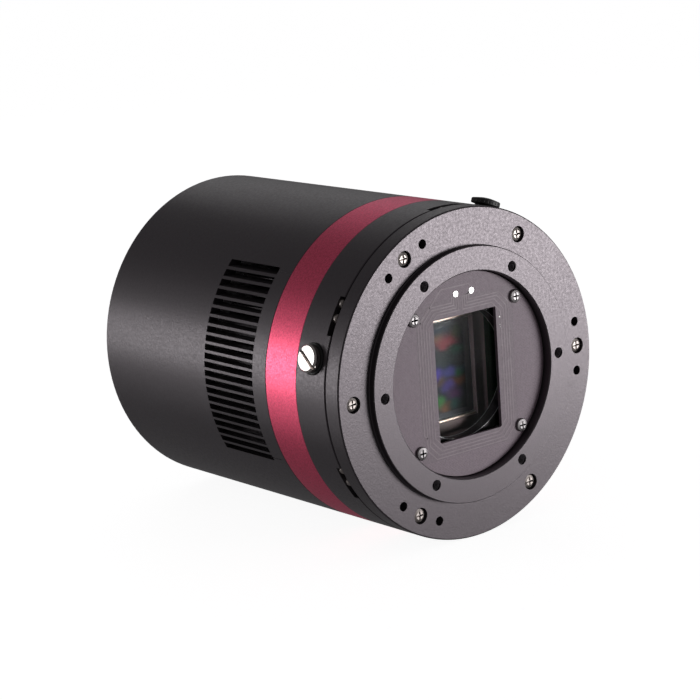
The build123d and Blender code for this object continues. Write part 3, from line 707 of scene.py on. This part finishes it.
def ribbon_connectors():
    """Shrouded headers where the flat cables meet the boards: z, front and back of each."""
    bm = bmesh.new()
    for z, front, back in ((-26.0, 70.2, 72.0), (-30.0, MAIN_BACK, 75.4), (-30.0, 85.7, INTERFACE_FRONT),
                           (-26.0, SENSOR_BOARD_BACK, 18.2)):
        for side in (-1, 1):
            add_block(bm, 0, z + side * 1.35, 18.4, 1.5, front, back)
            add_block(bm, side * 8.8, z, 0.9, 1.3, front, back)
    piece("ribbon_connectors", mesh_from(bm, "ribbon_connectors"), "black_plastic", "camera",
          smooth=False)


def ribbon_ridges():
    """Rounded cores along the two grey ribbon cables: z, front and back of each cable."""
    cores, pitch, first_x, radius = 20, 0.8, -7.6, 0.41
    bm = bmesh.new()
    for z, front, back in ((-26.0, 40.6, 71.8), (-30.0, 73.8, 87.3)):
        for i in range(cores):
            x = first_x + pitch * i
            add_tube(bm, [(x, front, z), (x, back, z)], radius, 8)
    piece("ribbon_cores", mesh_from(bm, "ribbon_cores"), "ribbon", "camera")


ribbon_connectors()
ribbon_ridges()


# ---- fan wires and socket contacts ----
FAN_Z = 9.0


def fan_wires():
    """Three wires from the stator's hub, down one strut and out at the frame's lower corner."""
    spacing, radius = 0.62, 0.28
    for i, colour in enumerate(("red", "black", "yellow")):
        lane = (i - 1) * spacing
        name = f"fan_wire_{colour}"
        bm = bmesh.new()
        path = smooth_path([(7.0 + lane, 104.3, FAN_Z - 7.0 + lane),
                            (12.0 + lane, 104.2, FAN_Z - 12.0 + lane),
                            (16.8 + lane, 104.2, FAN_Z - 16.8 + lane), (17.6 + lane, 103.4, FAN_Z - 19.5),
                            (17.4 + lane, 101.0, FAN_Z - 22.6), (16.6 + lane, 96.0, FAN_Z - 27.5),
                            (14.5 + lane, 90.6, FAN_Z - 30.0)])
        add_tube(bm, path, radius, 8)
        piece(name, mesh_from(bm, name), f"wire_{colour}", "camera")


def usb_contacts():
    """Gold strips under and over the socket's tongue."""
    low, high = (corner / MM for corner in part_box("usb_socket_tongue"))
    contacts, pitch, first_x = 4, 1.3, -1.95
    bm = bmesh.new()
    for i in range(contacts):
        x = first_x + pitch * i
        add_block(bm, x, low.z - 0.03, 0.7, 0.08, low.y + 0.4, high.y - 0.5)
        add_block(bm, x, high.z + 0.03, 0.45, 0.08, low.y + 0.4, high.y - 0.5)
    piece("usb_contacts", mesh_from(bm, "usb_contacts"), "gold", "camera", smooth=False)


def power_spring():
    """Three bent leaves that press on the plug from above."""
    spacing, radius = 0.7, 0.2
    bm = bmesh.new()
    for i in range(3):
        x = SOCKET_SPREAD + (i - 1) * spacing
        path = smooth_path([(x, 100.0, -24.7), (x, 103.0, -25.3), (x, 105.6, -25.7), (x, 107.0, -24.8)])
        add_tube(bm, path, radius, 6)
    piece("power_spring", mesh_from(bm, "power_spring"), "nickel", "camera")


def filter_wheel_insert():
    """Round black insert that the four pins stand in, with soft edges."""
    radius, thickness, edge, middle_y = 4.4 * MM, 2.2 * MM, 0.25 * MM, 102.05
    centre = Vector((-SOCKET_SPREAD, middle_y, SOCKET_Z)) * MM
    bm = bmesh.new()
    made = bmesh.ops.create_cone(bm, segments=40, radius1=radius, radius2=radius, depth=thickness,
                                 cap_ends=True, cap_tris=False)["verts"]
    for vert in made:
        vert.co = centre + Vector((vert.co.x, vert.co.z, vert.co.y))
    bmesh.ops.bevel(bm, geom=list(bm.edges), offset=edge, segments=2, affect="EDGES",
                    clamp_overlap=True)
    piece("filter_wheel_insert", mesh_from(bm, "filter_wheel_insert"), "black_plastic", "camera")


fan_wires()
usb_contacts()
power_spring()
filter_wheel_insert()


# ---------------------------------------------------------------- camera, light and floor
AIM = Vector((1.0, 54.0, -0.7)) * MM
CAMERA_AZIMUTH, CAMERA_ELEVATION = math.radians(-38.15), math.radians(12.97)
CAMERA_DISTANCE = 657.7 * MM
CAMERA_ROLL = math.radians(-4.0)
LENS, SENSOR_WIDTH = 119.0, 36.0

# name, azimuth and elevation (degrees), distance, width and height (metres), power (watts)
LAMPS = [
    ("key", 30, -4, 0.9, 0.3, 0.2, 2.8),
    ("key_right", 46, -6, 0.6, 0.2, 0.14, 1.06),
    ("side", -137, 0, 0.9, 0.3, 0.3, 1.37),
    ("side_low", -137, -20, 0.9, 0.3, 0.25, 0.18),
    ("side_high", -137, 20, 0.9, 0.3, 0.25, 0.12),
    ("back_right", 146, 25, 0.9, 0.5, 0.4, 0.24),
    ("rear", 168, -12, 0.9, 0.4, 0.3, 1.3),
]
ROOM_LIGHT = 0.147
FLOOR_SIZE, FLOOR_GLOW = 6.0, 0.92


def direction(azimuth, elevation):
    """Unit vector away from the object: azimuth 0 is its front, and positive turns towards +X."""
    flat = math.cos(elevation)
    return Vector((math.sin(azimuth) * flat, -math.cos(azimuth) * flat, math.sin(elevation)))


def facing(towards, roll=0.0):
    """Rotation of a lamp or camera that looks along this vector."""
    return towards.to_track_quat("-Z", "Y").to_matrix().to_4x4() @ Matrix.Rotation(roll, 4, "Z")


def make_camera():
    """The camera that the object is seen by."""
    data = bpy.data.cameras.new("camera")
    data.lens = LENS
    data.sensor_width = SENSOR_WIDTH
    data.clip_start, data.clip_end = 0.05, 50.0
    camera = bpy.data.objects.new("view_camera", data)
    bpy.context.scene.collection.objects.link(camera)
    back = direction(CAMERA_AZIMUTH, CAMERA_ELEVATION)
    camera.matrix_world = Matrix.Translation(AIM + back * CAMERA_DISTANCE) @ facing(-back, CAMERA_ROLL)
    bpy.context.scene.camera = camera


def softbox(name, azimuth, elevation, distance, width, height, power):
    """Rectangular area lamp aimed at the middle of the object; angles in degrees, sizes in metres."""
    data = bpy.data.lights.new(name, "AREA")
    data.shape = "RECTANGLE"
    data.size, data.size_y = width, height
    data.energy = power
    lamp = bpy.data.objects.new(name, data)
    bpy.context.scene.collection.objects.link(lamp)
    back = direction(math.radians(azimuth), math.radians(elevation))
    lamp.matrix_world = Matrix.Translation(AIM + back * distance) @ facing(-back)


def by_ray(tree, seen, unseen, target):
    """Joins two shaders: one for what the camera sees and one for all other rays."""
    path = tree.nodes.new("ShaderNodeLightPath")
    mix = tree.nodes.new("ShaderNodeMixShader")
    tree.links.new(path.outputs["Is Camera Ray"], mix.inputs[0])
    tree.links.new(unseen, mix.inputs[1])
    tree.links.new(seen, mix.inputs[2])
    tree.links.new(mix.outputs[0], target)


def make_floor():
    """Pale paper under the object that glows, so that it shades off into the room."""
    bm = bmesh.new()
    bmesh.ops.create_grid(bm, x_segments=1, y_segments=1, size=FLOOR_SIZE)
    mesh = mesh_from(bm, "floor")
    floor = bpy.data.objects.new("floor", mesh)
    bpy.context.scene.collection.objects.link(floor)
    floor.location.z = cad_box[0].z
    finish = Finish("floor_paper", roughness=0.8)
    finish.vary_colour((0.5, 0.5, 0.5), 0.01, 40.0)
    finish.shader.inputs["Emission Color"].default_value = (1, 1, 1, 1)
    finish.shader.inputs["Emission Strength"].default_value = FLOOR_GLOW
    mesh.materials.append(finish.material)
    floor.visible_glossy = floor.visible_diffuse = floor.visible_shadow = False
    floor.visible_transmission = False


def make_world():
    """A room that looks white to the camera and lights the object softly."""
    world = bpy.data.worlds.new("studio")
    bpy.context.scene.world = world
    world.use_nodes = True
    tree = world.node_tree
    room = tree.nodes["Background"]
    room.inputs["Color"].default_value = (1.0, 0.98, 1.0, 1)
    room.inputs["Strength"].default_value = ROOM_LIGHT
    paper = tree.nodes.new("ShaderNodeBackground")
    paper.inputs["Color"].default_value = (1, 1, 1, 1)
    by_ray(tree, paper.outputs[0], room.outputs[0], tree.nodes["World Output"].inputs["Surface"])


make_camera()
make_floor()
make_world()
for lamp in LAMPS:
    softbox(*lamp)
bpy.context.scene.view_settings.view_transform = "Standard"
